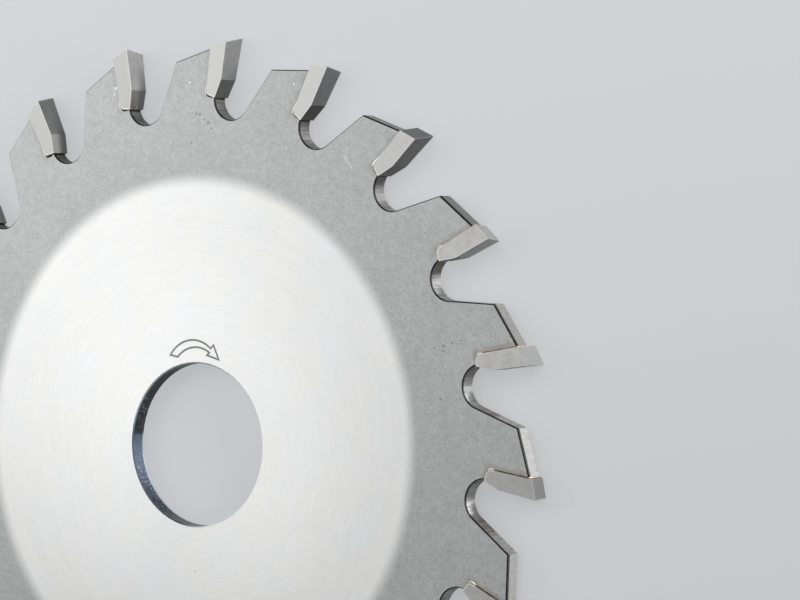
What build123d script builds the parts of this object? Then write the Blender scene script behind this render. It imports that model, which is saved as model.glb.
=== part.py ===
from build123d import *
from math import radians, sin, tan
import os

# Scoring saw blade: a flat steel plate with carbide tips brazed into seats around its rim.
# The origin is the centre of the bore, half way through the plate. +Z runs along the bore
# towards the marked face, and +Y passes through the cutting corner of tip_01. The teeth are
# numbered clockwise as seen from +Z, which is the way the blade turns. Millimetres, degrees.

# Blade as a whole
cutting_diameter = 100.0
kerf = 3.3
tooth_count = 20

# Plate
plate_thickness = 2.2
bore_diameter = 20.0
bore_chamfer = 0.15
edge_break = 0.12

# Land behind each tip, falling back from the top of the seat to the shoulder
land_depth = 1.5
land_length = 5.8
land_angle = 21.5

# Gullet in front of each tip: its lowest point, from the cutting corner
gullet_lead = 1.1
gullet_depth = 10.0
gullet_radius = 2.6

# Seat of each tip: its inner corner, from the cutting corner
seat_setback = 2.85
seat_depth = 7.25
seat_lean = 3.0
seat_fall = 12.0
seat_corner_radius = 0.7

# Braze between the seat and the tip
braze_thickness = 0.12

# Tip
hook_angle = 5.0
toe_angle = 21.0
toe_depth = 5.2
relief_angle = 16.5
bevel_angle = 10.0
radial_clearance_angle = 2.0
tangential_clearance_angle = 1.5
grinding_allowance = 0.2

# Everything below is drawn for the tooth on +Y and turned to its place
cutting_radius = cutting_diameter / 2
pitch = 360 / tooth_count
cutting_corner = Vector(0, cutting_radius)
downwards = Vector(0, -1)
rearwards = Vector(-1, 0)
rake_direction = downwards.rotate(Axis.Z, -hook_angle)
toe_direction = downwards.rotate(Axis.Z, -toe_angle)
land_direction = rearwards.rotate(Axis.Z, land_angle)
wall_direction = -downwards.rotate(Axis.Z, -seat_lean)
floor_direction = -rearwards.rotate(Axis.Z, -seat_fall)
wall_normal = wall_direction.rotate(Axis.Z, -90)
floor_normal = floor_direction.rotate(Axis.Z, 90)


def crossing(start, direction, other_start, other_direction):
    """Point where two straight lines of the tooth's plane cross."""
    across = (other_start - start).cross(other_direction).Z
    return start + direction * (across / direction.cross(other_direction).Z)


def at_depth(start, direction, depth):
    """Point of a line at a depth below the cutting corner."""
    return crossing(start, direction, cutting_corner + downwards * depth, rearwards)


def seat_corner(gap):
    """Sharp inner corner of the seat, moved off its wall and its floor by the same gap."""
    root = cutting_corner + rearwards * seat_setback + downwards * seat_depth
    spread = wall_direction.get_angle(floor_direction)
    return root + (wall_direction + floor_direction) * (gap / sin(radians(spread)))


# Outline of one tooth as the plate is cut out, from its shoulder to that of the next tooth
seat_top = at_depth(seat_corner(0), wall_direction, land_depth)
shoulder = seat_top + land_direction * land_length
next_shoulder = shoulder.rotate(Axis.Z, -pitch)
gullet_bottom = cutting_corner - rearwards * gullet_lead + downwards * gullet_depth
gullet_centre = gullet_bottom - downwards * gullet_radius

with BuildLine() as tooth_line:
    gullet_circle = CenterArc(gullet_centre, gullet_radius, 0, 360, mode=Mode.PRIVATE)
    floor = IntersectingLine(seat_corner(0), floor_direction, gullet_circle, mode=Mode.PRIVATE)
    shelf_end = floor @ 1
    nose = crossing(seat_top, land_direction, shelf_end, wall_direction)
    Polyline(shoulder, nose, shelf_end)
    flank = ConstrainedLines(gullet_circle, next_shoulder,
                             selector=lambda tangents: tangents.sort_by(Axis.Y)[0])
    flank_foot = flank.vertices().sort_by(Axis.Y)[0]
    ThreePointArc(shelf_end, gullet_bottom, flank_foot)

# Seat as it is cut into the plate, open at the front and at the top
with BuildSketch() as seat:
    with BuildLine():
        wall_mouth = seat_corner(0) + wall_direction * seat_depth
        floor_mouth = seat_corner(0) + floor_direction * seat_setback
        far_mouth = floor_mouth + wall_direction * seat_depth
        FilletPolyline(wall_mouth, seat_corner(0), floor_mouth, far_mouth,
                       radius=(0, seat_corner_radius, 0, 0), close=True)
    make_face()

# Plate: cut out and bored, its edges broken, then cut for the seats
with BuildPart() as blade_body:
    with BuildSketch():
        with BuildLine():
            with PolarLocations(0, tooth_count):
                add(tooth_line.line)
        make_face()
    extrude(amount=plate_thickness / 2, both=True)
    rim_edges = faces().filter_by(Plane.XY).edges()
    chamfer(rim_edges, length=edge_break)
    Hole(bore_diameter / 2)
    chamfer(edges(Select.LAST).filter_by(GeomType.CIRCLE), length=bore_chamfer)
    with BuildSketch():
        with PolarLocations(0, tooth_count):
            add(seat.sketch)
    extrude(amount=plate_thickness / 2, both=True, mode=Mode.SUBTRACT)

blade_body.part.label = "blade_body"


def ground_tip(high_side):
    """Tip with its bevelled top highest on the +Z side (1) or on the -Z side (-1)."""
    high_corner = cutting_corner + Vector(0, 0, high_side * kerf / 2)
    top_slope = Vector(-tan(radians(relief_angle)), 1, -high_side * tan(radians(bevel_angle)))
    with BuildPart() as tip:
        with BuildSketch():
            with BuildLine():
                rake_top = at_depth(cutting_corner, rake_direction, -grinding_allowance)
                knee = at_depth(cutting_corner, rake_direction, toe_depth)
                foot = seat_corner(braze_thickness)
                toe = crossing(knee, toe_direction, foot, floor_direction)
                back_top = at_depth(foot, wall_direction, -grinding_allowance)
                foot_radius = seat_corner_radius - braze_thickness
                FilletPolyline(rake_top, knee, toe, foot, back_top,
                               radius=(0, 0, 0, foot_radius, 0), close=True)
            make_face()
        extrude(amount=kerf / 2 + grinding_allowance, both=True)
        for side in (1, -1):
            side_slope = Vector(-tan(radians(tangential_clearance_angle)),
                                -tan(radians(radial_clearance_angle)), side)
            side_corner = cutting_corner + Vector(0, 0, side * kerf / 2)
            split(bisect_by=Plane(side_corner, z_dir=side_slope), keep=Keep.BOTTOM)
        split(bisect_by=Plane(high_corner, z_dir=top_slope), keep=Keep.BOTTOM)
    return tip.part


def braze_layer():
    """Braze that fills the seat under and behind one tip, flush with the plate's faces."""
    with BuildPart() as layer:
        with BuildSketch():
            with BuildLine():
                top_end = seat_top + wall_normal * braze_thickness
                front_end = shelf_end + floor_normal * braze_thickness
                Line(shelf_end, front_end)
                FilletPolyline(front_end, seat_corner(braze_thickness), top_end,
                               radius=seat_corner_radius - braze_thickness)
                Line(top_end, seat_top)
                FilletPolyline(seat_top, seat_corner(0), shelf_end, radius=seat_corner_radius)
            make_face()
        extrude(amount=plate_thickness / 2, both=True)
    return layer.part


def place(piece, number, label):
    """Turns a piece from the +Y tooth to the tooth with this number."""
    with BuildPart() as placed:
        with Locations(Rotation(0, 0, -(number - 1) * pitch)):
            add(piece)
    placed.part.label = f"{label}_{number:02d}"
    return placed.part


# Odd tips are high on the -Z side and even tips on the +Z side
low_and_high = (ground_tip(-1), ground_tip(1))
braze = braze_layer()
pieces = [blade_body.part]
for number in range(1, tooth_count + 1):
    pieces.append(place(low_and_high[(number - 1) % 2], number, "tip"))
    pieces.append(place(braze, number, "braze"))

os.makedirs("parts", exist_ok=True)
for piece in pieces:
    export_step(piece, f"parts/{piece.label}.step")
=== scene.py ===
import math
import random

import bpy
from mathutils import Matrix, Vector


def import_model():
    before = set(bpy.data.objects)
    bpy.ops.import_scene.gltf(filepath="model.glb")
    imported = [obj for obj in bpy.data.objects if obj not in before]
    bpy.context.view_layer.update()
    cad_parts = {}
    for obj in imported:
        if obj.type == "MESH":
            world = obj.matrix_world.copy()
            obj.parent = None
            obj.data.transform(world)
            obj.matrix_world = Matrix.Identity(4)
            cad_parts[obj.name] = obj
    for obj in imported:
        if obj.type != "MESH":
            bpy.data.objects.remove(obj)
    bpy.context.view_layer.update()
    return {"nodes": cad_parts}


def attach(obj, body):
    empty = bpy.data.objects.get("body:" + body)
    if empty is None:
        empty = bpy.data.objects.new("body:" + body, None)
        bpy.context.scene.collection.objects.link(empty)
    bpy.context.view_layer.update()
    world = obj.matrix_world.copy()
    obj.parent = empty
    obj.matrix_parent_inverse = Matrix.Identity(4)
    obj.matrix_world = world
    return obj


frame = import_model()

# Scoring saw blade, lying flat. The origin is the centre of the bore, half way through the
# plate. +Z runs along the bore towards the marked face and +Y passes through the cutting
# corner of tip_01. Lengths are in millimetres until a mesh, lamp or camera is placed.

MM = 0.001
TOOTH_COUNT = 20
PITCH = 2 * math.pi / TOOTH_COUNT
CUTTING_RADIUS = 50.0
HALF_KERF = 1.65
PLATE_FACE = 1.1
BORE_RADIUS = 10.0
FLOOR_LEVEL = -HALF_KERF
THICKNESS_DIRECTION = (0.0, 0.0, 1.0)

# Ground hub zone, with its centre a little beside the bore, and the centre of its second set
# of grinding rings
HUB_CENTRE = (-0.206, 0.295)
HUB_INNER = 31.1
HUB_OUTER = 33.3
CROSSING_CENTRE = (2.6, -1.8)

# Marks on the face: darker spots and drops of solder by place and radius, a patch with more pits,
# and a scratch along an arc
DARK_SPOTS = ((35.37, 10.02, 0.14), (35.2, 15.6, 0.10), (36.3, 16.7, 0.12), (34.6, 17.1, 0.09),
         (-3.53, 40.32, 0.16), (-4.10, 40.36, 0.12), (-2.86, 39.8, 0.13), (-2.17, 39.43, 0.17),
         (-1.60, 38.77, 0.14), (-4.44, 36.7, 0.13), (1.34, -15.44, 0.11))
SOLDER_DROPS = ((-5.47, 44.06, 0.13), (-5.9, 43.5, 0.07), (11.2, 43.6, 0.09),
                (9.94, 37.34, 0.09), (-17.05, 42.44, 0.22), (-17.2, 41.7, 0.13),
                (10.3, 45.1, 0.14))
PITTED_PATCH = (36.0, 15.8)
SCRATCH_CENTRE = (11.3, 29.3)
SCRATCH_RADIUS = 10.7

# The tooth on +Y, x clockwise and y outwards: inner corner of the tip, and the directions
# of the tip's back and of its underside away from that corner
TIP_FOOT = Vector((-2.725, 42.846))
TIP_BACK = Vector((0.0523, 0.9986))
TIP_UNDERSIDE = Vector((0.9781, -0.2079))
TIP_FOOT_RADIUS = 0.58
TIP_BACK_LENGTH = 5.62
TIP_UNDERSIDE_LENGTH = 1.12

# Slopes of the tip's faces, as rise over run: its back, its underside, its front, the toe
# below the front with its start, the relief and the bevel of its top, and its sides towards
# the centre and towards the back
BACK_SLOPE = 0.0524
UNDERSIDE_SLOPE = 0.2126
HOOK_SLOPE = 0.0875
TOE_SLOPE = 0.384
TOE_START = 1.54
RELIEF_SLOPE = 0.296
BEVEL_SLOPE = 0.176
RADIAL_CLEARANCE = 0.0349
TANGENTIAL_CLEARANCE = 0.0262

# Inner corner of the seat, from which the heat of brazing spreads over the plate
SEAT_CORNER = Vector((-2.9, 42.75))

# The corner between the tip's back and the land, and the land's direction away from it
LAND_END = Vector((-2.429, 48.494))
LAND_DIRECTION = Vector((-0.9304, -0.3665))

# Which random number tells how light the land behind a tip and the gullet in front of it are, how
# smeared and how light the tip's sides are, how bright the painted highlights on its edges are,
# how light its front and its top are, how stained and how light its toe is, how much brazing has
# browned its seat, and how tarnished its braze is. How light each land, gullet, side, front, top
# and toe is stands in for how light fell on that tooth: painted light and shade.
LAND_LOT = 666827
GULLET_LOT = 2362010
SIDE_LOT = 51298
SHADE_LOT = 1835390
FRONT_LOT = 2804905
TOP_LOT = 2781892
TOE_LOT = 17926
TOE_LEVEL_LOT = 1520900
RIM_LOT = 1703433
HEAT_LOT = 1332073
BRAZE_LOT = 19

# Where one tooth ends and the next begins, at the shoulder before the land, in turns of a pitch
SHOULDER_SHARE = 0.54

# Teeth whose braze shows coppery rather than silvery
COPPERY_TEETH = (4, 5, 6, 7, 10, 11, 14, 18)


# Shader graphs

class Value:
    """A number worked out by shader nodes. Arithmetic on it adds Math nodes."""

    def __init__(self, graph, socket):
        self.graph = graph
        self.socket = socket

    def __add__(self, other):
        return self.graph.math("ADD", self, other)

    def __radd__(self, other):
        return self.graph.math("ADD", other, self)

    def __sub__(self, other):
        return self.graph.math("SUBTRACT", self, other)

    def __rsub__(self, other):
        return self.graph.math("SUBTRACT", other, self)

    def __mul__(self, other):
        return self.graph.math("MULTIPLY", self, other)

    def __rmul__(self, other):
        return self.graph.math("MULTIPLY", other, self)

    def __truediv__(self, other):
        return self.graph.math("DIVIDE", self, other)

    def rises(self, start, end):
        """0 up to start and 1 from end on, with a smooth rise between them."""
        return self.graph.rise(self, start, end)

    def falls(self, start, end):
        """1 up to start and 0 from end on, with a smooth fall between them."""
        return 1 - self.graph.rise(self, start, end)


class Graph:
    """The nodes of one material or world."""

    def __init__(self, tree):
        self.tree = tree
        self.tree.nodes.clear()

    def node(self, kind, inputs=None, **settings):
        node = self.tree.nodes.new(kind)
        for name, value in settings.items():
            setattr(node, name, value)
        for name, value in (inputs or {}).items():
            self.feed(node.inputs[name], value)
        return node

    def feed(self, socket, value):
        if isinstance(value, Value):
            value = value.socket
        if isinstance(value, bpy.types.NodeSocket):
            self.tree.links.new(value, socket)
        else:
            socket.default_value = value

    def math(self, operation, *values):
        node = self.node("ShaderNodeMath", dict(enumerate(values)), operation=operation)
        return Value(self, node.outputs[0])

    def length(self, x, y):
        return self.math("SQRT", x * x + y * y)

    def rise(self, value, start, end):
        inputs = {"Value": value, "From Min": start, "From Max": end}
        node = self.node("ShaderNodeMapRange", inputs, interpolation_type="SMOOTHSTEP")
        return Value(self, node.outputs["Result"])

    def position(self):
        """Place on the object in millimetres, as a vector socket and its three parts."""
        place = self.node("ShaderNodeTexCoord").outputs["Object"]
        scaled = self.node("ShaderNodeVectorMath", {0: place}, operation="SCALE")
        scaled.inputs["Scale"].default_value = 1 / MM
        return scaled.outputs[0], *self.split(scaled.outputs[0])

    def facing(self):
        """The three parts of the surface's own direction."""
        return self.split(self.node("ShaderNodeNewGeometry").outputs["True Normal"])

    def split(self, vector):
        node = self.node("ShaderNodeSeparateXYZ", {0: vector})
        return tuple(Value(self, output) for output in node.outputs)

    def join(self, x, y, z):
        return self.node("ShaderNodeCombineXYZ", {0: x, 1: y, 2: z}).outputs[0]

    def noise(self, vector, scale=1.0, detail=2.0, roughness=0.5):
        """Soft noise around 0, mostly between -1 and 1."""
        inputs = {"Vector": vector, "Scale": scale, "Detail": detail, "Roughness": roughness}
        node = self.node("ShaderNodeTexNoise", inputs, noise_dimensions="3D")
        middle = 0.5
        spread = 2.6
        return (Value(self, node.outputs[0]) - middle) * spread

    def cells(self, vector, scale):
        """Distance to the nearest of scattered points, and a random number of that point."""
        inputs = {"Vector": vector, "Scale": scale}
        node = self.node("ShaderNodeTexVoronoi", inputs, voronoi_dimensions="3D", feature="F1")
        return Value(self, node.outputs["Distance"]), self.split(node.outputs["Color"])[0]

    def lottery(self, number):
        """A random number from 0 to 1 for each whole number."""
        node = self.node("ShaderNodeTexWhiteNoise", {"W": number}, noise_dimensions="1D")
        return Value(self, node.outputs["Value"])

    def blend(self, factor, first, second, kind="MIX"):
        inputs = {0: factor, 6: first, 7: second}
        node = self.node("ShaderNodeMix", inputs, data_type="RGBA", blend_type=kind)
        return node.outputs[2]

    def blend_direction(self, factor, first, second):
        inputs = {0: factor, 4: first, 5: second}
        return self.node("ShaderNodeMix", inputs, data_type="VECTOR").outputs[1]

    def tint(self, colour, brightness):
        """A colour made brighter or darker."""
        grey = self.join(brightness, brightness, brightness)
        return self.blend(1.0, colour, grey, kind="MULTIPLY")

    def bump(self, height, depth):
        """Relief of a height field from 0 to 1, with its depth in millimetres."""
        inputs = {"Height": height, "Strength": 1.0, "Distance": depth * MM}
        return self.node("ShaderNodeBump", inputs).outputs[0]

    def surface(self, **inputs):
        shader = self.node("ShaderNodeBsdfPrincipled")
        for name, value in inputs.items():
            self.feed(shader.inputs[name.replace("_", " ")], value)
        output = self.node("ShaderNodeOutputMaterial")
        self.tree.links.new(shader.outputs[0], output.inputs["Surface"])


def new_material(name):
    material = bpy.data.materials.new(name)
    material.use_nodes = True
    return material, Graph(material.node_tree)


def rgb(red, green, blue):
    return (red, green, blue, 1.0)


class ToothPlace:
    """Where a point lies on its own tooth, turned to +Y, which tooth that is, and how far its
    surface faces outwards and clockwise."""

    def __init__(self, graph, x, y):
        self.radius = graph.length(x, y)
        turns = graph.math("ARCTAN2", x, y) / PITCH + SHOULDER_SHARE
        number = graph.math("FLOOR", turns)
        self.number = graph.math("FLOORED_MODULO", number, TOOTH_COUNT)
        angle = (turns - number - SHOULDER_SHARE) * PITCH
        self.x = graph.math("SINE", angle) * self.radius
        self.y = graph.math("COSINE", angle) * self.radius
        facing_x, facing_y, self.upwards = graph.facing()
        self.outwards = (facing_x * x + facing_y * y) / self.radius
        self.clockwise = (facing_x * y - facing_y * x) / self.radius


# Finish of the plate

class PlatePlace:
    """Where a point lies on the plate, which kind of surface it is on, the grain there, and
    the heat that brazing the nearest tip has left."""

    def __init__(self, graph):
        self.place, self.x, self.y, self.z = graph.position()
        self.tooth = ToothPlace(graph, self.x, self.y)
        self.radius = self.tooth.radius

        upright = graph.math("ABSOLUTE", self.tooth.upwards)
        self.face = upright.rises(0.85, 0.95)
        self.wall = upright.falls(0.15, 0.35)
        self.edge = 1 - self.face - self.wall
        near_bore = self.radius.falls(BORE_RADIUS + 0.6, BORE_RADIUS + 0.8)
        self.in_bore = near_bore * (1 - self.face)

        self.grain = graph.noise(self.place, 4.2, 3.0, 0.85)
        self.mottle = graph.noise(self.place, 1.1, 4.0, 0.6)

        seat_back = SEAT_CORNER.x + (self.tooth.y - SEAT_CORNER.y) * BACK_SLOPE
        seat_floor = SEAT_CORNER.y - 0.05
        behind = graph.math("MAXIMUM", seat_back - self.tooth.x, 0.0)
        below = graph.math("MAXIMUM", seat_floor - self.tooth.y, 0.0)
        self.from_seat = graph.length(behind, below) + self.mottle * 0.2
        self.heat = graph.lottery(self.tooth.number + HEAT_LOT)


def hub_finish(graph, spot):
    """Colour, roughness and height of the ground hub, with round-and-round marks about the
    bore and about a centre beside it."""
    x, y, radius = spot.x, spot.y, spot.radius
    around_bore = graph.join(radius * 4.2, x / radius * 9.0, y / radius * 9.0)
    fine_rings = graph.noise(around_bore, 1.0, 4.0, 0.7)
    wide_around_bore = graph.join(radius * 0.9, x / radius * 2.0, y / radius * 2.0)
    broad_rings = graph.noise(wide_around_bore, 1.0, 2.0)
    side_x = x - CROSSING_CENTRE[0]
    side_y = y - CROSSING_CENTRE[1]
    side_radius = graph.length(side_x, side_y)
    beside_bore = graph.join(side_radius * 3.1, side_x / side_radius * 7.0,
                             side_y / side_radius * 7.0)
    crossing_rings = graph.noise(beside_bore, 1.0, 3.0, 0.7)
    cloud = graph.noise(spot.place, 0.09, 3.0, 0.55)
    warmth = graph.noise(spot.place, 0.14, 2.0, 0.6).rises(-0.5, 0.5)

    rings = fine_rings * 0.05 + crossing_rings * 0.06 + broad_rings * 0.015
    # The term by radius lightens the hub towards the bore: a painted highlight.
    level = 0.97 + rings + cloud * 0.02 + radius.falls(10.0, 32.0) * 0.11
    tone = graph.blend(warmth, rgb(0.668, 0.676, 0.674), rgb(0.677, 0.670, 0.649))
    roughness = 0.57 + fine_rings * 0.04 + crossing_rings * 0.03
    height = (fine_rings + crossing_rings) * 0.125
    return graph.tint(tone, level), roughness, height


def blasted_finish(graph, spot):
    """Colour, roughness and height of the blasted zone, with pale specks and small pits."""
    drift = graph.noise(spot.place, 0.16, 2.0, 0.5)
    speck_distance, speck_lot = graph.cells(spot.place, 1.6)
    speck = speck_distance.falls(0.10, 0.2) * speck_lot.rises(0.86, 0.87)
    pit_distance, pit_lot = graph.cells(spot.place, 0.9)
    from_patch = graph.length(spot.x - PITTED_PATCH[0], spot.y - PITTED_PATCH[1])
    pit_area = graph.noise(spot.place, 0.13, 1.0).rises(0.25, 0.75) + from_patch.falls(1.5, 4.5)
    pit = pit_distance.falls(0.07, 0.14) * pit_lot.rises(0.45, 0.46) * pit_area

    level = 1.0 + spot.grain * 0.35 + spot.mottle * 0.12 + drift * 0.05 + speck * 0.25 - pit * 0.5
    roughness = 0.57 + spot.grain * 0.05 + pit * 0.2
    height = spot.grain * 0.48 - pit * 1.2
    return graph.tint(rgb(0.364, 0.372, 0.368), level), roughness, height


def round_marks(graph, spot, places, inner_share, outer_share):
    """Marks at the listed places, each fading out between two shares of its radius."""
    marks = 0.0
    for mark_x, mark_y, mark_radius in places:
        distance = graph.length(spot.x - mark_x, spot.y - mark_y) + spot.mottle * 0.03
        marks = marks + distance.falls(mark_radius * inner_share, mark_radius * outer_share)
    return marks


def face_marks_level(graph, spot):
    """How darker spots, drops of solder and a scratch lighten or darken the marked face."""
    x, y = spot.x, spot.y
    dark_spots = round_marks(graph, spot, DARK_SPOTS, 0.3, 1.7)
    drops = round_marks(graph, spot, SOLDER_DROPS, 0.6, 1.3)
    scratch_radius = graph.length(x - SCRATCH_CENTRE[0], y - SCRATCH_CENTRE[1])
    beside = graph.math("ABSOLUTE", scratch_radius - SCRATCH_RADIUS)
    scratch_length = y.rises(35.4, 35.9) * y.falls(37.0, 37.5) * x.rises(17.0, 17.5)
    scratch = beside.falls(0.03, 0.11) * scratch_length
    marked = graph.math("MAXIMUM", 1.0 - dark_spots * 0.45 + scratch * 0.35 + drops * 0.7, 0.3)
    return 1.0 + (marked - 1.0) * spot.z.rises(0.0, 0.5)


def browned_by_seat(graph, spot, colour):
    """The face's colour with the stain and the spatter of heat and flux around each tip."""
    reach = spot.tooth.x.falls(-1.2, -0.4) * spot.tooth.y.rises(40.6, 41.6)
    stain = spot.from_seat.falls(0.0, 0.75) * reach
    stain_colour = graph.blend(spot.heat * 0.7, rgb(0.22, 0.22, 0.22), rgb(0.28, 0.215, 0.17))
    spatter_distance, spatter_lot = graph.cells(spot.place, 2.3)
    spatter = spatter_distance.falls(0.12, 0.32) * spatter_lot.rises(0.35, 0.40)
    spatter = spatter * spot.from_seat.falls(0.2, 1.4) * reach
    colour = graph.blend(stain * (0.2 + spot.heat * 0.4), colour, stain_colour)
    return graph.blend(spatter * (0.1 + spot.heat * 0.5), colour, rgb(0.16, 0.145, 0.13))


def face_finish(graph, spot):
    """Colour, roughness and height of the plate's faces, and how far a point is in the hub."""
    from_centre = graph.length(spot.x - HUB_CENTRE[0], spot.y - HUB_CENTRE[1])
    outer = (from_centre + spot.mottle * 0.16).rises(HUB_INNER, HUB_OUTER)
    hub_colour, hub_roughness, hub_height = hub_finish(graph, spot)
    outer_colour, outer_roughness, outer_height = blasted_finish(graph, spot)
    hub = 1 - outer
    colour = graph.blend(outer, hub_colour, outer_colour)
    colour = graph.tint(colour, face_marks_level(graph, spot))
    colour = browned_by_seat(graph, spot, colour)
    roughness = hub_roughness * hub + outer_roughness * outer
    height = hub_height * hub + outer_height * outer
    return colour, roughness, height, hub


def wall_finish(graph, spot):
    """Colour, roughness, height and share of streaks of the cut walls of gullets and lands,
    with fine streaks across the thickness."""
    x, y, z, tooth = spot.x, spot.y, spot.z, spot.tooth
    streaks = graph.noise(graph.join(x * 3.2, y * 3.2, z * 0.35), 1.0, 4.0, 0.7)
    fine_streaks = graph.noise(graph.join(x * 7.5, y * 7.5, z * 0.5), 1.0, 2.0, 0.7)
    broad_streaks = graph.noise(graph.join(x * 1.1, y * 1.1, z * 0.15), 1.0, 2.0)
    smoke = graph.noise(graph.join(x * 1.6, y * 1.6, z * 1.1), 1.0, 3.0).rises(0.1, 0.9)
    # Near the seat and below the land, the wall goes dark and brown: partly heat tint from
    # brazing, partly painted shade under the tip.
    heat_and_shade = spot.from_seat.falls(0.0, 2.2) * tooth.y.falls(43.2, 43.8)
    land = tooth.outwards.rises(0.6, 0.85) * spot.radius.rises(44.0, 45.0)
    gullet = 1 - land
    land_lot = graph.lottery(tooth.number + LAND_LOT)
    gullet_lot = graph.lottery(tooth.number + GULLET_LOT)

    tone = graph.blend(broad_streaks.rises(-0.2, 0.9), rgb(0.300, 0.300, 0.292),
                       rgb(0.290, 0.275, 0.260))
    heat_and_shade_colour = graph.blend(spot.heat, rgb(0.120, 0.116, 0.104), rgb(0.135, 0.108, 0.092))
    tone = graph.blend(heat_and_shade * 0.7, tone, heat_and_shade_colour)
    tone = graph.blend(smoke * land * 0.35, tone, rgb(0.16, 0.12, 0.10))
    # The near-black line along the top of each wall, towards the marked face, is partly a burr and
    # partly painted shade that widens the dark edge.
    burr_and_shade = (z + land * 0.16).rises(0.74, 0.92) * spot.wall * (1 - spot.in_bore)
    tone = graph.blend(burr_and_shade * 0.92, tone, rgb(0.034, 0.034, 0.034))
    # The black band on the wall just under the toe is painted shade of the overhanging toe.
    toe_shade = tooth.y.rises(42.19, 42.36) * tooth.y.falls(42.9, 43.2) * tooth.x.falls(-0.9, -0.5)
    tone = graph.blend(toe_shade * 0.85, tone, rgb(0.03, 0.027, 0.024))

    cut_marks = streaks * 0.54 + fine_streaks * 0.48 + broad_streaks * 0.26 + spot.grain * 0.36
    level = graph.math("MAXIMUM", 1.0 + cut_marks * (1.0 - land * 0.66), 0.25)
    # land_level and gullet_level give each tooth's land and gullet a lightness that stands in for
    # the light falling on it: painted light and shade.
    land_level = 0.85 + land_lot * 1.05
    # The two terms below darken each gullet wall low down behind x = -0.9, lighten it just under
    # the toe, and lighten it between x = 1.6 and 2.4: painted shade and painted sheen.
    shade_by_tip = tooth.x.falls(-0.9, -0.3) * 0.32 - tooth.y.rises(41.8, 42.2) * 0.30
    sheen_in_gullet = tooth.x.rises(0.8, 1.6) * 0.28 - tooth.x.rises(2.4, 3.4) * 0.30
    gullet_level = (0.74 + gullet_lot * 0.48) * (1.04 + sheen_in_gullet - shade_by_tip)
    level = level * (land * land_level + gullet * gullet_level)

    roughness = 0.50 + streaks * 0.06 + heat_and_shade * 0.10
    streak_share = land * 0.85 + gullet * (0.70 + gullet_lot * 0.25)
    return graph.tint(tone, level), roughness, streaks * 0.7, streak_share


def bore_finish(graph, spot):
    """Colour of the bore's wall: blue-black with brown patches down to an oil line, and below it a
    lighter blue grey that gets darker and browner, with a painted reflection that makes it lighter
    grey near x = 0 and a pale line of painted reflection along its far edge."""
    y = spot.y
    oil_line = y + graph.noise(spot.place, 0.8, 3.0) * 0.5
    oiled = oil_line.rises(-0.5, 0.6)
    speckle = graph.noise(spot.place, 4.6, 4.0, 0.85)
    brown = graph.noise(spot.place, 0.6, 2.0).rises(0.0, 0.7)
    oil_colour = graph.blend(brown, rgb(0.060, 0.075, 0.084), rgb(0.135, 0.113, 0.092))
    dry_colour = graph.blend(y.falls(-8.5, -2.0), rgb(0.126, 0.156, 0.208),
                             rgb(0.070, 0.086, 0.110))
    level = graph.math("MAXIMUM", 1.0 + speckle * 1.5, 0.25)
    colour = graph.tint(graph.blend(oiled, dry_colour, oil_colour), level)
    # Lighter grey where the wall faces along Y, near x = 0: a painted reflection.
    side_on_sheen = graph.math("ABSOLUTE", spot.x).falls(2.5, 6.0)
    colour = graph.blend(side_on_sheen * 0.8, colour, rgb(0.185, 0.195, 0.205))

    chip_distance, chip_lot = graph.cells(spot.place, 3.2)
    chipped = y.rises(1.2, 2.4) * y.falls(4.4, 5.4) + y.falls(-4.2, -2.2) * 0.75
    chips = chip_distance.falls(0.24, 0.48) * chip_lot.rises(0.40, 0.45) * chipped
    pale = (speckle + brown * 0.2).rises(0.45, 0.8) * y.falls(4.5, 6.5)
    specks = graph.math("MAXIMUM", pale, chips)
    colour = graph.blend(specks * 0.75, colour, rgb(0.40, 0.40, 0.42))
    # Pale blue line along the far edge of the dry part of the wall: a painted reflection.
    far_edge_glint = spot.z.falls(-0.80, -0.66) * (1 - oiled)
    return graph.blend(far_edge_glint * 0.75, colour, rgb(0.45, 0.54, 0.64))


def edge_finish(graph, spot):
    """Colour of the broken edges, painted light and shade: round the bore a painted reflection,
    bright on the +X side and half so on the +Y side, and dark elsewhere, and round the rim painted
    dark on the marked face and painted pale on the other."""
    # Painted reflection on the bore's edge on the +X and +Y sides, painted shade on it elsewhere.
    bore_edge_glint = graph.math("MAXIMUM", spot.y.rises(-1.0, 5.0) * 0.5, spot.x.rises(-2.0, 4.0))
    bore_edge = graph.blend(bore_edge_glint, rgb(0.10, 0.11, 0.13), rgb(0.86, 0.93, 0.98))
    # Painted shade on the rim's edges of the marked face, darker round the teeth, and a painted
    # highlight on those of the other face.
    marked_edge_shade = graph.blend(spot.radius.rises(45.2, 46.0), rgb(0.066, 0.070, 0.077),
                            rgb(0.022, 0.022, 0.024))
    rim_edge_light_and_shade = graph.blend(spot.z.rises(-0.2, 0.2), rgb(0.36, 0.36, 0.355), marked_edge_shade)
    return graph.blend(spot.in_bore, rim_edge_light_and_shade, bore_edge)


def plate_steel():
    material, graph = new_material("plate_steel_finish")
    spot = PlatePlace(graph)
    face, wall, edge = spot.face, spot.wall, spot.edge
    face_colour, face_roughness, face_height, hub = face_finish(graph, spot)
    wall_colour, wall_roughness, wall_height, streak_share = wall_finish(graph, spot)

    colour = graph.blend(wall, face_colour, wall_colour)
    colour = graph.blend(wall * spot.in_bore, colour, bore_finish(graph, spot))
    colour = graph.blend(edge, colour, edge_finish(graph, spot))
    edge_roughness = 0.24 + spot.in_bore * 0.34
    roughness = face_roughness * face + wall_roughness * wall + edge_roughness * edge
    relief = graph.bump(face_height * face + wall_height * wall + 0.5, 0.004)
    around = graph.node("ShaderNodeTangent", direction_type="RADIAL", axis="Z").outputs[0]
    across = graph.blend_direction(wall, around, THICKNESS_DIRECTION)
    graph.surface(Base_Color=colour, Metallic=1.0, Roughness=roughness, Normal=relief,
                  Anisotropic=hub * face * 0.2 + wall * streak_share, Tangent=across)
    return material


# Finish of the tips

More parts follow.
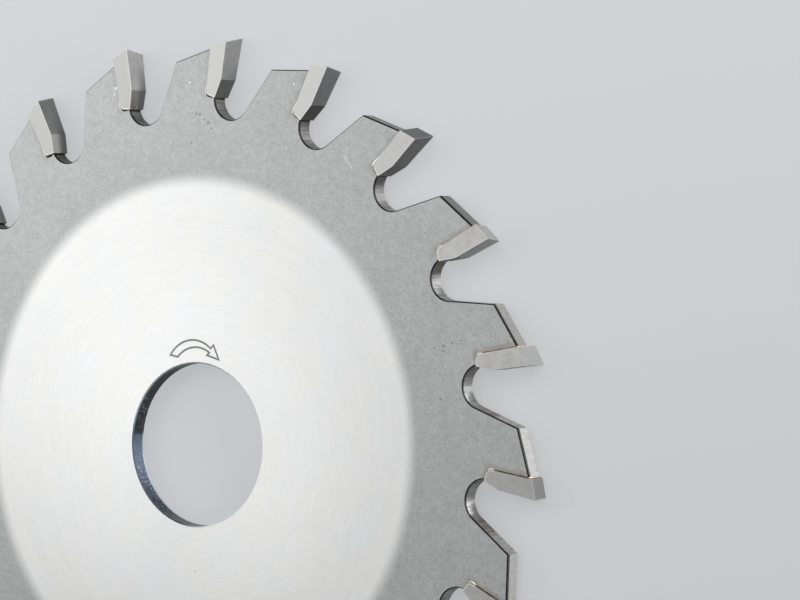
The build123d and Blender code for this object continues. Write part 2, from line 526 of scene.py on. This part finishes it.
def painted_edge_highlights(graph, tooth, z, side, front, top):
    """Painted highlights along the lines where two ground faces of a tip meet, brighter on some
    tips.
    """
    depth = CUTTING_RADIUS - tooth.y
    front_line = graph.math("MINIMUM", depth * -HOOK_SLOPE, depth * -TOE_SLOPE + TOE_START)
    high_side = graph.math("FLOORED_MODULO", tooth.number, 2.0) * 2.0 - 1.0
    middle_top = CUTTING_RADIUS - HALF_KERF * BEVEL_SLOPE
    top_line = middle_top + tooth.x * RELIEF_SLOPE + high_side * z * BEVEL_SLOPE
    half_width = HALF_KERF + tooth.x * TANGENTIAL_CLEARANCE - depth * RADIAL_CLEARANCE
    at_front = (front_line - tooth.x).falls(0.04, 0.15)
    at_top = (top_line - tooth.y).falls(0.04, 0.15)
    at_side = (half_width - graph.math("ABSOLUTE", z)).falls(0.04, 0.13)
    lines = side * graph.math("MAXIMUM", at_front, at_top * 0.6)
    lines = lines + front * graph.math("MAXIMUM", at_side, at_top)
    lines = lines + top * graph.math("MAXIMUM", at_front, at_side)
    return lines * (0.1 + graph.lottery(tooth.number + RIM_LOT) * 0.9)


def foot_highlight(graph, tooth, wobble, side):
    """A painted highlight as a pale line round the foot of each side, where the rounded corner
    meets the braze.
    """
    from_back = tooth.x - TIP_FOOT.x - (tooth.y - TIP_FOOT.y) * BACK_SLOPE
    from_under = tooth.y - TIP_FOOT.y + (tooth.x - TIP_FOOT.x) * UNDERSIDE_SLOPE
    corner_x = graph.math("MAXIMUM", TIP_FOOT_RADIUS - from_back, 0.0)
    corner_y = graph.math("MAXIMUM", TIP_FOOT_RADIUS - from_under, 0.0)
    from_foot = TIP_FOOT_RADIUS - graph.length(corner_x, corner_y)
    return (from_foot + wobble).falls(0.05, 0.2) * tooth.y.falls(43.5, 44.4) * side


def carbide():
    material, graph = new_material("carbide_finish")
    place, x, y, z = graph.position()
    tooth = ToothPlace(graph, x, y)
    side = graph.math("ABSOLUTE", tooth.upwards).rises(0.7, 0.8)
    top = tooth.outwards.rises(0.7, 0.8)
    front = tooth.clockwise.rises(0.7, 0.8)
    toe = front * tooth.outwards.falls(-0.27, -0.2)

    sinter = graph.noise(place, 9.0, 2.0, 0.7)
    mottle = graph.noise(place, 3.6, 3.0, 0.8)
    cloud = graph.noise(place, 0.75, 2.0, 0.5)
    side_lines = graph.noise(graph.join(tooth.x * 9.0, tooth.y * 0.9, z), 1.0, 3.0, 0.7)
    front_lines = graph.noise(graph.join(tooth.number, tooth.y * 0.8, z * 11.0), 1.0, 3.0, 0.7)
    top_lines = graph.noise(graph.join(tooth.number, tooth.x * 0.8, z * 11.0), 1.0, 3.0, 0.7)
    side_lot = graph.lottery(tooth.number + SIDE_LOT)
    shade_lot = graph.lottery(tooth.number + SHADE_LOT)
    front_lot = graph.lottery(tooth.number + FRONT_LOT)
    top_lot = graph.lottery(tooth.number + TOP_LOT)
    toe_lot = graph.lottery(tooth.number + TOE_LOT)
    toe_level_lot = graph.lottery(tooth.number + TOE_LEVEL_LOT)

    side_marks = side_lines * (0.05 + side_lot * 0.09) + cloud * (0.07 + side_lot * 0.12)
    # The factor with shade_lot gives each tip's sides a lightness that stands in for the light
    # falling on them: painted light and shade.
    side_level = (1.0 + side_marks) * (0.80 + shade_lot * 0.32)
    blotches = graph.noise(place, 1.1, 3.0, 0.6).rises(-0.1, 0.7) * (0.1 + side_lot * 0.9)
    side_tone = graph.blend(blotches, rgb(0.392, 0.392, 0.383), rgb(0.400, 0.352, 0.322))
    side_colour = graph.tint(side_tone, side_level)

    front_marks = front_lines * 0.20 + cloud * 0.14 + mottle * 0.20
    # front_level and toe_level give each tip's front and toe a lightness that stands in for the
    # light falling on them: painted light and shade.
    front_level = (0.55 + front_lot * 1.35) * (1.0 + front_marks)
    front_colour = graph.tint(rgb(0.238, 0.2375, 0.237), front_level)
    toe_level = (0.62 + toe_level_lot * 0.9) * (1.0 + mottle * 0.22)
    toe_colour = graph.tint(rgb(0.172, 0.174, 0.168), toe_level)
    smeared = graph.noise(place, 2.4, 3.0, 0.7).rises(-0.3, 0.5)
    stain_colour = graph.blend(smeared, rgb(0.12, 0.10, 0.075), rgb(0.42, 0.38, 0.30))
    stain = (tooth.y + cloud * 0.7 - z * 0.35).falls(42.5, 44.4) * (0.05 + toe_lot * 0.8)
    toe_colour = graph.blend(stain, toe_colour, stain_colour)
    front_colour = graph.blend(toe, front_colour, toe_colour)

    # top_level gives each tip's top a lightness that stands in for the light falling on it:
    # painted light and shade.
    top_level = (0.49 + top_lot * 1.6) * (1.0 + top_lines * 0.16 + mottle * 0.08)
    top_colour = graph.tint(rgb(0.262, 0.266, 0.260), top_level)

    colour = graph.blend(front, side_colour, front_colour)
    colour = graph.blend(top, colour, top_colour)
    colour = graph.tint(colour, 1.0 + sinter * 0.06)
    # Painted highlights along the tip's edges and round the foot of its sides.
    edge_highlights = painted_edge_highlights(graph, tooth, z, side, front, top)
    colour = graph.blend(edge_highlights * 0.9, colour, rgb(0.56, 0.555, 0.535))
    foot = foot_highlight(graph, tooth, cloud * 0.04, side)
    colour = graph.blend(foot * 0.75, colour, rgb(0.62, 0.60, 0.545))

    lines = side_lines * side + front_lines * front + top_lines * top
    roughness = 0.52 + lines * 0.05 + cloud * 0.03
    relief = graph.bump(lines * 0.3 + sinter * 0.15 + 0.5, 0.002)
    across = graph.join(*THICKNESS_DIRECTION)
    graph.surface(Base_Color=colour, Metallic=1.0, Roughness=roughness, Normal=relief,
                  Anisotropic=graph.math("MAXIMUM", front, top) * 0.85, Tangent=across)
    return material


# Finish of the braze and of the arrow

def braze(name, silver_share):
    """Braze between coppery and silvery, bright where it faces out of the lands, and darkened
    under the tips, partly scorching and partly painted shade."""
    material, graph = new_material(name)
    place, x, y, _ = graph.position()
    tooth = ToothPlace(graph, x, y)
    patches = graph.noise(place, 1.3, 3.0, 0.6)
    fine = graph.noise(place, 7.0, 3.0, 0.7)
    lot = graph.lottery(tooth.number + BRAZE_LOT)
    bare = tooth.outwards.rises(0.55, 0.85)
    forward = tooth.clockwise.rises(0.5, 0.8)
    at_foot = tooth.y.falls(43.4, 44.2)

    copper = graph.blend(patches.rises(-0.6, 0.4), rgb(0.26, 0.135, 0.080),
                         rgb(0.065, 0.040, 0.030))
    copper = graph.blend(bare, copper, rgb(1.0, 0.78, 0.58))
    silver = graph.blend(patches.rises(-0.2, 0.9), rgb(0.74, 0.73, 0.70), rgb(0.50, 0.45, 0.40))
    share = patches * 0.15 + lot * 0.2 + silver_share + at_foot * (silver_share * 5.0)
    colour = graph.blend(share.rises(0.35, 0.65), copper, silver)
    colour = graph.tint(colour, 1.0 + fine * 0.10)
    # Darkened braze under each tip's foot: partly scorching, partly painted shade of the gap under
    # the tip.
    scorched_and_shaded = (tooth.y + tooth.x * 0.2).falls(42.15, 42.45) * (0.8 + lot * 0.2)
    colour = graph.blend(scorched_and_shaded, colour, rgb(0.055, 0.045, 0.035))
    olive = graph.blend(patches.rises(0.0, 0.9), rgb(0.03, 0.027, 0.022), rgb(0.20, 0.18, 0.12))
    colour = graph.blend(forward, colour, olive)

    roughness = 0.34 + fine * 0.06 + bare * 0.28
    relief = graph.bump(fine * 0.4 + patches * 0.4 + 0.5, 0.01)
    graph.surface(Base_Color=colour, Metallic=1.0, Roughness=roughness, Normal=relief)
    return material


def arrow_mark():
    material, graph = new_material("etched_mark_finish")
    grain = graph.noise(graph.position()[0], 8.0, 3.0, 0.7)
    colour = graph.tint(rgb(0.200, 0.212, 0.206), 1.0 + grain * 0.16)
    relief = graph.bump(grain * 0.4 + 0.5, 0.004)
    graph.surface(Base_Color=colour, Metallic=0.35, Roughness=0.62 + grain * 0.05, Normal=relief)
    return material


# Added meshes

def add_mesh(name, points, faces, material, smooth=True):
    mesh = bpy.data.meshes.new(name)
    mesh.from_pydata([tuple(MM * size for size in point) for point in points], [], faces)
    mesh.materials.append(material)
    mesh.validate()
    for polygon in mesh.polygons:
        polygon.use_smooth = smooth
    piece = bpy.data.objects.new(name, mesh)
    bpy.context.scene.collection.objects.link(piece)
    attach(piece, "root")


def arc(centre, radius, start, end, steps):
    """Points of an arc, its angles in degrees."""
    points = []
    for step in range(steps + 1):
        angle = math.radians(start + (end - start) * step / steps)
        points.append(Vector(centre) + radius * Vector((math.cos(angle), math.sin(angle))))
    return points


def bearing_from(centre, point):
    return math.degrees(math.atan2(point[1] - centre[1], point[0] - centre[0]))


def rotation_arrow(material):
    """Outline of a bent arrow that shows which way the blade turns, etched beside the bore."""
    mark_turn = math.radians(6.19)
    line_width = 0.25
    line_foot = PLATE_FACE - 0.01
    line_top = PLATE_FACE + 0.012
    least_spread = 0.45
    outer_centre = (-0.483, 8.670)
    outer_radius = 4.172
    inner_centre = (-0.051, 8.164)
    inner_radius = 3.796
    outer_arc = arc(outer_centre, outer_radius, bearing_from(outer_centre, (-3.96, 10.97)),
                    bearing_from(outer_centre, (2.26, 11.81)), 28)
    inner_arc = arc(inner_centre, inner_radius, bearing_from(inner_centre, (2.07, 11.31)),
                    bearing_from(inner_centre, (-2.82, 10.76)), 28)
    head = [Vector((2.73, 12.21)), Vector((3.50, 10.46)), Vector((1.71, 10.98))]
    outline = outer_arc + head + inner_arc
    turn = Matrix.Rotation(mark_turn, 2)
    count = len(outline)
    points = []
    for index, point in enumerate(outline):
        before = (point - outline[index - 1]).normalized()
        after = (outline[(index + 1) % count] - point).normalized()
        across = Vector((-before.y - after.y, before.x + after.x)).normalized()
        spread = max(least_spread, across.dot(Vector((-before.y, before.x))))
        half = across * (line_width / 2 / spread)
        for place, level in ((point - half, line_foot), (point - half, line_top),
                             (point + half, line_top), (point + half, line_foot)):
            turned = turn @ place
            points.append((turned.x, turned.y, level))
    faces = []
    for index in range(count):
        here = 4 * index
        there = 4 * ((index + 1) % count)
        for corner in range(4):
            beside = (corner + 1) % 4
            faces.append((here + corner, here + beside, there + beside, there + corner))
    add_mesh("rotation_arrow", points, faces, material, smooth=False)


def seat_line():
    """Points along the tip's back and underside, each with its direction away from the tip
    and its distance along the line."""
    away_back = Vector((-TIP_BACK.y, TIP_BACK.x))
    away_under = Vector((TIP_UNDERSIDE.y, -TIP_UNDERSIDE.x))
    corner_angle = math.acos(TIP_BACK.dot(TIP_UNDERSIDE))
    tangent = TIP_FOOT_RADIUS / math.tan(corner_angle / 2)
    middle = TIP_FOOT + TIP_BACK * tangent - away_back * TIP_FOOT_RADIUS
    places = []
    back_steps = 22
    for step in range(back_steps):
        along = TIP_BACK_LENGTH + (tangent - TIP_BACK_LENGTH) * step / back_steps
        places.append((TIP_FOOT + TIP_BACK * along, away_back))
    start = math.atan2(away_back.y, away_back.x)
    end = math.atan2(away_under.y, away_under.x) % (2 * math.pi)
    turn_steps = 8
    for step in range(turn_steps + 1):
        angle = start + (end - start) * step / turn_steps
        away = Vector((math.cos(angle), math.sin(angle)))
        places.append((middle + away * TIP_FOOT_RADIUS, away))
    under_steps = 5
    for step in range(1, under_steps + 1):
        along = tangent + (TIP_UNDERSIDE_LENGTH - tangent) * step / under_steps
        places.append((TIP_FOOT + TIP_UNDERSIDE * along, away_under))
    line = []
    travelled = 0.0
    for index, (place, away) in enumerate(places):
        if index:
            travelled += (place - places[index - 1][0]).length
        line.append((place, away, travelled))
    return line


def fillet_width(travelled, length, seed, beads, fullness):
    """Width of the braze fillet along the seat line: thin behind the tip, fuller round its
    foot, with a soft unevenness and now and then a bead."""
    top_taper = 0.4
    end_taper = 0.25
    bead_reach = 0.16
    least_width = 0.012
    ends = min(1.0, travelled / top_taper, (length - travelled) / end_taper)
    wave = 0.5 + 0.5 * math.sin(travelled * 2.3 + seed * 5.1)
    ripple = 0.5 + 0.5 * math.sin(travelled * 6.1 + seed * 3.3)
    foot = max(0.0, 1 - abs(travelled - (length - 1.2)) / 1.3)
    lower_half = max(0.0, min(1.0, (travelled - 1.5) / 2.0))
    width = 0.07 + 0.05 * wave + 0.03 * ripple + 0.13 * foot + fullness * lower_half
    for place, size in beads:
        width += size * math.exp(-((travelled - place) / bead_reach) ** 2)
    return max(least_width, width * ends)


def land_fillet(points, faces, turn):
    """Adds the braze that stands in the corner between a tip's back and the land."""
    corner = LAND_END
    land_reach = 0.46
    back_reach = 0.14
    sunk = 0.004
    half_thickness = PLATE_FACE - 0.10
    steps = 6
    base = len(points)
    for face_side in (1, -1):
        for step in range(steps + 1):
            share = step / steps * math.pi / 2
            along = land_reach * (1 - math.sin(share))
            up = back_reach * (1 - math.cos(share))
            turned = turn @ (corner + LAND_DIRECTION * along + TIP_BACK * (up - sunk))
            points.append((turned.x, turned.y, face_side * half_thickness))
    row = steps + 1
    for step in range(steps):
        faces.append((base + step, base + row + step, base + row + step + 1, base + step + 1))
    for face_side in (0, 1):
        first = base + face_side * row
        turned = turn @ corner
        points.append((turned.x, turned.y, (1, -1)[face_side] * half_thickness))
        middle = len(points) - 1
        for step in range(steps):
            end_cap = (middle, first + step, first + step + 1)
            faces.append(end_cap if face_side == 0 else end_cap[::-1])


def braze_fillets(copper_braze, silver_braze):
    """The thin run of braze in the corner between each tip and the plate's faces."""
    rng = random.Random(20)
    line = seat_line()
    length = line[-1][2]
    profile_steps = 5
    highest = 0.30
    sunk = 0.012
    seen_beads = {19: [(2.9, 0.16)], 20: [(2.7, 0.17)], 2: [(2.9, 0.16)], 1: [(1.9, 0.05)]}
    for number in range(1, TOOTH_COUNT + 1):
        turn = Matrix.Rotation(-(number - 1) * PITCH, 2)
        points = []
        faces = []
        for face_side in (1, -1):
            seed = rng.random() * 6
            if face_side == 1 and number in seen_beads:
                beads = seen_beads[number]
            elif rng.random() < 0.3:
                beads = [(1.2 + 3.2 * rng.random(), 0.08 + 0.06 * rng.random())]
            else:
                beads = []
            base = len(points)
            fullness = 0.03 if number in COPPERY_TEETH else 0.19
            for place, away, travelled in line:
                width = fillet_width(travelled, length, seed, beads, fullness)
                climb = min(highest, width * 1.15)
                for step in range(profile_steps + 1):
                    share = step / profile_steps * math.pi / 2
                    out = width * (1 - math.sin(share)) - sunk
                    up = climb * (1 - math.cos(share)) - sunk
                    turned = turn @ (place + away * out)
                    points.append((turned.x, turned.y, face_side * (PLATE_FACE + up)))
            row = profile_steps + 1
            for index in range(len(line) - 1):
                for step in range(profile_steps):
                    corner = base + index * row + step
                    quad = (corner, corner + 1, corner + row + 1, corner + row)
                    faces.append(quad if face_side == 1 else quad[::-1])
        land_fillet(points, faces, turn)
        material = copper_braze if number in COPPERY_TEETH else silver_braze
        add_mesh(f"braze_fillet_{number:02d}", points, faces, material)


# Stage, lamps and camera

def background_rays(graph):
    """Whether a ray comes from the camera or through glass, and whether it is a reflection."""
    path = graph.node("ShaderNodeLightPath")
    from_camera = Value(graph, path.outputs["Is Camera Ray"])
    through_glass = Value(graph, path.outputs["Is Transmission Ray"])
    return from_camera + through_glass, Value(graph, path.outputs["Is Glossy Ray"])


def floor():
    """Round sheet of paper under the blade, a little darker towards the lower right, which is
    painted shade.
    """
    material, graph = new_material("floor_paper")
    _, x, y, _ = graph.position()
    # The colour slope is painted shade: darker towards the lower right.
    slope = (y - x * 0.7).rises(-160.0, 80.0)
    colour = graph.blend(slope, rgb(0.530, 0.535, 0.539), rgb(0.635, 0.640, 0.665))
    paper = graph.node("ShaderNodeBsdfDiffuse", {"Color": colour})
    glow = graph.node("ShaderNodeEmission", {"Color": colour, "Strength": 1.0})
    seen, reflected = background_rays(graph)
    shares = {0: (seen + reflected) * 0.70, 1: paper.outputs[0], 2: glow.outputs[0]}
    mixed = graph.node("ShaderNodeMixShader", shares)
    output = graph.node("ShaderNodeOutputMaterial")
    graph.tree.links.new(mixed.outputs[0], output.inputs["Surface"])
    size = 3000.0
    steps = 64
    points = []
    for step in range(steps):
        angle = 2 * math.pi * step / steps
        points.append((size * math.cos(angle) * MM, size * math.sin(angle) * MM, FLOOR_LEVEL * MM))
    mesh = bpy.data.meshes.new("floor")
    mesh.from_pydata(points, [], [tuple(range(steps))])
    mesh.materials.append(material)
    ground = bpy.data.objects.new("floor", mesh)
    bpy.context.scene.collection.objects.link(ground)


def world():
    """Weak light all round with soft panels on the left, overhead and far to the lower right,
    in front of a plain grey backdrop."""
    scene_world = bpy.data.worlds.new("studio")
    bpy.context.scene.world = scene_world
    scene_world.use_nodes = True
    graph = Graph(scene_world.node_tree)
    direction = graph.node("ShaderNodeTexCoord").outputs["Generated"]
    x, y, z = graph.split(direction)
    panel = (x * -0.62 + y * 0.05 + z * 0.78).rises(0.35, 0.97)
    overhead = z.rises(0.45, 0.85)
    far_side = (x * 0.64 - y * 0.64 + z * 0.42).rises(0.6, 0.98)
    level = 0.03 + panel * 0.30 + overhead * 0.34 + far_side * 0.32
    seen, reflected = background_rays(graph)
    lit = {"Color": rgb(0.97, 0.985, 1.0), "Strength": level}
    plain = {"Color": rgb(0.61, 0.625, 0.65), "Strength": 1.0}
    light = graph.node("ShaderNodeBackground", lit)
    backdrop = graph.node("ShaderNodeBackground", plain)
    shares = {0: seen + reflected * 0.22, 1: light.outputs[0], 2: backdrop.outputs[0]}
    mixed = graph.node("ShaderNodeMixShader", shares)
    output = graph.node("ShaderNodeOutputWorld")
    graph.tree.links.new(mixed.outputs[0], output.inputs["Surface"])


def softbox(name, place, aim, width, height, radiance):
    """Flat lamp that gives the radiance of a surface, 1 being that of lit white paper."""
    lamp = bpy.data.lights.new(name, "AREA")
    lamp.shape = "RECTANGLE"
    lamp.size = width * MM
    lamp.size_y = height * MM
    lamp.energy = radiance * math.pi * lamp.size * lamp.size_y
    box = bpy.data.objects.new(name, lamp)
    bpy.context.scene.collection.objects.link(box)
    box.location = Vector(place) * MM
    box.rotation_euler = (Vector(aim) - Vector(place)).to_track_quat("-Z", "Y").to_euler()


def camera():
    """The photo's camera, fitted to the teeth and the bore."""
    right = Vector((0.81622804, 0.08334676, -0.57168619))
    up = Vector((-0.10783383, 0.99412796, -0.00902532))
    back = Vector((0.567577, 0.069014, 0.820423))
    place = Vector((284.161, 52.024, 370.750)) * MM
    image_width = 800
    focal_pixels = 3819.3
    data = bpy.data.cameras.new("camera")
    data.sensor_fit = "HORIZONTAL"
    data.sensor_width = 36.0
    data.lens = focal_pixels / image_width * data.sensor_width
    data.clip_start = 0.01
    data.clip_end = 20.0
    view = bpy.data.objects.new("camera", data)
    bpy.context.scene.collection.objects.link(view)
    rotation = Matrix((right, up, back)).transposed().to_4x4()
    view.matrix_world = Matrix.Translation(place) @ rotation
    bpy.context.scene.camera = view


def dress(node, material):
    """Gives a carried-over CAD piece its finish."""
    node.data.materials.clear()
    node.data.materials.append(material)


steel = plate_steel()
hard_metal = carbide()
layer_braze = braze("braze_layer_finish", 0.0)
copper_braze = braze("coppery_fillet_finish", 0.1)
silver_braze = braze("silvery_fillet_finish", 0.6)
mark = arrow_mark()

for name, node in frame["nodes"].items():
    if name.startswith("tip_"):
        dress(node, hard_metal)
    elif name.startswith("braze_"):
        dress(node, layer_braze)
    else:
        dress(node, steel)

rotation_arrow(mark)
braze_fillets(copper_braze, silver_braze)

floor()
world()
softbox("key", (-175, 44, 140), (-25, 10, 0), 158, 158, 2.5)
softbox("top", (-20, 170, 250), (10, 10, 0), 200, 200, 1.8)
softbox("side", (332, 200, 90), (10, 5, 0), 420, 80, 18.0)
camera()

bpy.context.scene.view_settings.view_transform = "Standard"
